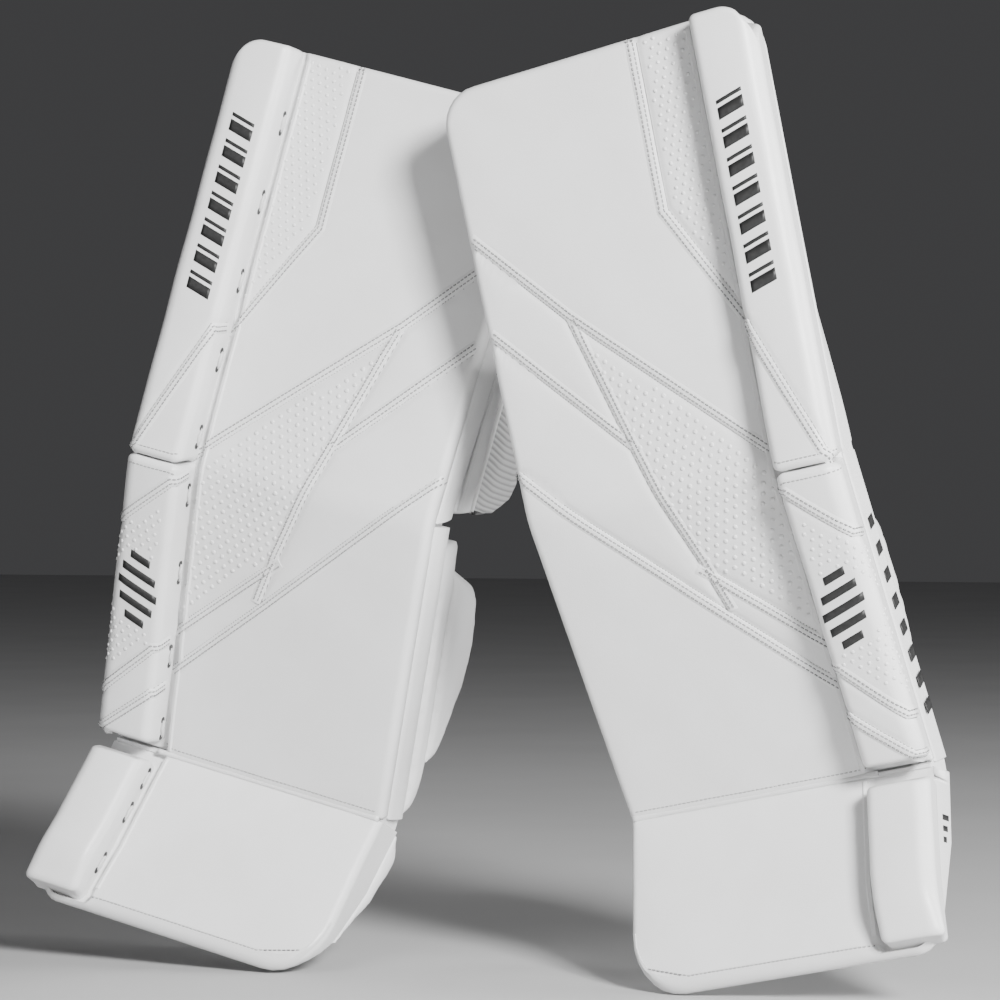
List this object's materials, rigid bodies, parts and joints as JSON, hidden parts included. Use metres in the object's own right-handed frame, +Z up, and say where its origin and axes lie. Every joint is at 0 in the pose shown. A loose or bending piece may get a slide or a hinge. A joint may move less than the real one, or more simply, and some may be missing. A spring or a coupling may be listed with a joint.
{
  "type": "goalie leg pads",
  "caption": "A pair of ice hockey goalie leg pads with outer rolls, knee stacks, calf wings and straps, standing on their toes with the thigh ends crossed.",
  "frame": {"origin": "centre of the bottom of the box round both pads, on the floor they stand on", "axes": "+Z up; the faces of the pads look towards -Y; +X from the right pad, at the back, to the left pad, in front"},
  "size_m": [0.851, 0.3026, 0.8442],
  "materials": {
    "face_leather": "smooth coated synthetic leather, soft satin",
    "roll_leather": "smooth coated synthetic leather, soft satin",
    "wall_leather": "smooth coated synthetic leather, slightly duller",
    "binding": "wear-resistant binding, glossier",
    "lace": "woven polyester lace",
    "foam": "closed-cell foam under a fabric backing",
    "board": "matt plastic board",
    "liner": "soft brushed lining",
    "knee_fabric": "ribbed knitted fabric",
    "webbing": "woven nylon webbing",
    "strap_leather": "leather strap",
    "hard_plastic": "moulded nylon"
  },
  "bodies": {
    "right_shin": {"right_shin_face_foam": "face_leather", "right_shin_board": "board", "right_shin_back_foam": "foam", "right_shin_roll": "roll_leather", "right_shin_lace": "lace", "right_shin_inner_wall": "wall_leather", "right_leg_liner": "liner"},
    "right_thigh": {"right_thigh_face_foam": "face_leather", "right_thigh_board": "board", "right_thigh_back_foam": "foam", "right_thigh_roll": "roll_leather", "right_thigh_lace": "lace", "right_knee_stack_base": "wall_leather", "right_knee_stack_cap": "knee_fabric", "right_knee_cushion": "liner"},
    "right_boot": {"right_boot_foam": "face_leather", "right_toe_binding": "binding", "right_boot_roll": "roll_leather", "right_boot_inner_wall": "wall_leather", "right_toe_bridge": "hard_plastic"},
    "right_inner_calf_wing": {"right_inner_calf_wing": "wall_leather"},
    "right_outer_calf_wing": {"right_outer_calf_wing": "liner"},
    "right_knee_wing": {"right_knee_wing": "liner"},
    "right_knee_strap": {"right_knee_strap": "webbing"},
    "right_upper_calf_strap": {"right_upper_calf_strap": "webbing"},
    "right_lower_calf_strap": {"right_lower_calf_strap": "webbing"},
    "right_boot_strap": {"right_boot_strap": "strap_leather"},
    "right_toe_slider": {"right_toe_slider": "hard_plastic", "right_toe_tie": "webbing"},
    "left_shin": {"left_shin_face_foam": "face_leather", "left_shin_board": "board", "left_shin_back_foam": "foam", "left_shin_roll": "roll_leather", "left_shin_lace": "lace", "left_shin_inner_wall": "wall_leather", "left_leg_liner": "liner"},
    "left_thigh": {"left_thigh_face_foam": "face_leather", "left_thigh_board": "board", "left_thigh_back_foam": "foam", "left_thigh_roll": "roll_leather", "left_thigh_lace": "lace", "left_knee_stack_base": "wall_leather", "left_knee_stack_cap": "knee_fabric", "left_knee_cushion": "liner"},
    "left_boot": {"left_boot_foam": "face_leather", "left_toe_binding": "binding", "left_boot_roll": "roll_leather", "left_boot_inner_wall": "wall_leather", "left_toe_bridge": "hard_plastic"},
    "left_inner_calf_wing": {"left_inner_calf_wing": "wall_leather"},
    "left_outer_calf_wing": {"left_outer_calf_wing": "liner"},
    "left_knee_wing": {"left_knee_wing": "liner"},
    "left_knee_strap": {"left_knee_strap": "webbing"},
    "left_upper_calf_strap": {"left_upper_calf_strap": "webbing"},
    "left_lower_calf_strap": {"left_lower_calf_strap": "webbing"},
    "left_boot_strap": {"left_boot_strap": "strap_leather"},
    "left_toe_slider": {"left_toe_slider": "hard_plastic", "left_toe_tie": "webbing"}
  },
  "joints": [
    {"name": "pads_apart", "type": "slide", "parent": "right_shin", "child": "left_shin", "axis": [0, -1, 0], "range_m": [0, 0.3]},
    {"name": "right_knee_flex", "type": "hinge", "parent": "right_shin", "child": "right_thigh", "pos_m": [-0.18572, -0.05755, 0.43431], "axis": [0.9686, 0.0051, -0.2487], "range_deg": [-4.5, 4.5]},
    {"name": "right_boot_flex", "type": "hinge", "parent": "right_shin", "child": "right_boot", "pos_m": [-0.25491, 0.01007, 0.16623], "axis": [0.9686, 0.0051, -0.2487], "range_deg": [-10, 12]},
    {"name": "right_inner_calf_wing_swing", "type": "hinge", "parent": "right_shin", "child": "right_inner_calf_wing", "pos_m": [-0.09143, 0.07748, 0.24736], "axis": [-0.2428, 0.2373, -0.9406], "range_deg": [0, 35]},
    {"name": "right_outer_calf_wing_swing", "type": "hinge", "parent": "right_shin", "child": "right_outer_calf_wing", "pos_m": [-0.33948, 0.03977, 0.30187], "axis": [0.2428, -0.2373, 0.9406], "range_deg": [0, 35]},
    {"name": "right_knee_wing_swing", "type": "hinge", "parent": "right_thigh", "child": "right_knee_wing", "pos_m": [-0.2698, 0.00776, 0.55249], "axis": [0.2468, 0.1058, 0.9633], "range_deg": [0, 35]},
    {"name": "right_knee_strap_open", "type": "hinge", "parent": "right_knee_wing", "child": "right_knee_strap", "pos_m": [-0.26008, 0.08379, 0.54165], "axis": [0.2468, 0.1058, 0.9633], "range_deg": [0, 70]},
    {"name": "right_upper_calf_strap_open", "type": "hinge", "parent": "right_outer_calf_wing", "child": "right_upper_calf_strap", "pos_m": [-0.32302, 0.11793, 0.31733], "axis": [0.2428, -0.2373, 0.9406], "range_deg": [0, 70]},
    {"name": "right_lower_calf_strap_open", "type": "hinge", "parent": "right_outer_calf_wing", "child": "right_lower_calf_strap", "pos_m": [-0.32302, 0.11793, 0.31733], "axis": [0.2428, -0.2373, 0.9406], "range_deg": [0, 70]},
    {"name": "right_boot_strap_open", "type": "hinge", "parent": "right_boot", "child": "right_boot_strap", "pos_m": [-0.37282, 0.03951, 0.13182], "axis": [0.203, 0.5617, 0.802], "range_deg": [0, 90]},
    {"name": "right_toe_slide", "type": "slide", "parent": "right_boot", "child": "right_toe_slider", "axis": [0.9686, 0.0051, -0.2487], "range_m": [-0.03, 0.03]},
    {"name": "left_knee_flex", "type": "hinge", "parent": "left_shin", "child": "left_thigh", "pos_m": [0.20103, -0.11458, 0.43132], "axis": [0.9774, -0.0529, 0.2045], "range_deg": [-4.5, 4.5]},
    {"name": "left_boot_flex", "type": "hinge", "parent": "left_shin", "child": "left_boot", "pos_m": [0.26096, -0.01881, 0.16967], "axis": [0.9774, -0.0529, 0.2045], "range_deg": [-10, 12]},
    {"name": "left_inner_calf_wing_swing", "type": "hinge", "parent": "left_shin", "child": "left_inner_calf_wing", "pos_m": [0.10269, 0.04247, 0.26477], "axis": [-0.2103, -0.3361, 0.9181], "range_deg": [0, 35]},
    {"name": "left_outer_calf_wing_swing", "type": "hinge", "parent": "left_shin", "child": "left_outer_calf_wing", "pos_m": [0.35171, -0.00624, 0.30398], "axis": [0.2103, 0.3361, -0.9181], "range_deg": [0, 35]},
    {"name": "left_knee_wing_swing", "type": "hinge", "parent": "left_thigh", "child": "left_knee_wing", "pos_m": [0.29148, -0.06468, 0.55227], "axis": [0.2047, -0.0023, -0.9788], "range_deg": [0, 35]},
    {"name": "left_knee_strap_open", "type": "hinge", "parent": "left_knee_wing", "child": "left_knee_strap", "pos_m": [0.28326, 0.01228, 0.55037], "axis": [0.2047, -0.0023, -0.9788], "range_deg": [0, 70]},
    {"name": "left_upper_calf_strap_open", "type": "hinge", "parent": "left_outer_calf_wing", "child": "left_upper_calf_strap", "pos_m": [0.33787, 0.07002, 0.32873], "axis": [0.2103, 0.3361, -0.9181], "range_deg": [0, 70]},
    {"name": "left_lower_calf_strap_open", "type": "hinge", "parent": "left_outer_calf_wing", "child": "left_lower_calf_strap", "pos_m": [0.33787, 0.07002, 0.32873], "axis": [0.2103, 0.3361, -0.9181], "range_deg": [0, 70]},
    {"name": "left_boot_strap_open", "type": "hinge", "parent": "left_boot", "child": "left_boot_strap", "pos_m": [0.37809, 0.01186, 0.13367], "axis": [0.1559, -0.4724, -0.8675], "range_deg": [0, 90]},
    {"name": "left_toe_slide", "type": "slide", "parent": "left_boot", "child": "left_toe_slider", "axis": [0.9774, -0.0529, 0.2045], "range_m": [-0.03, 0.03]}
  ]
}
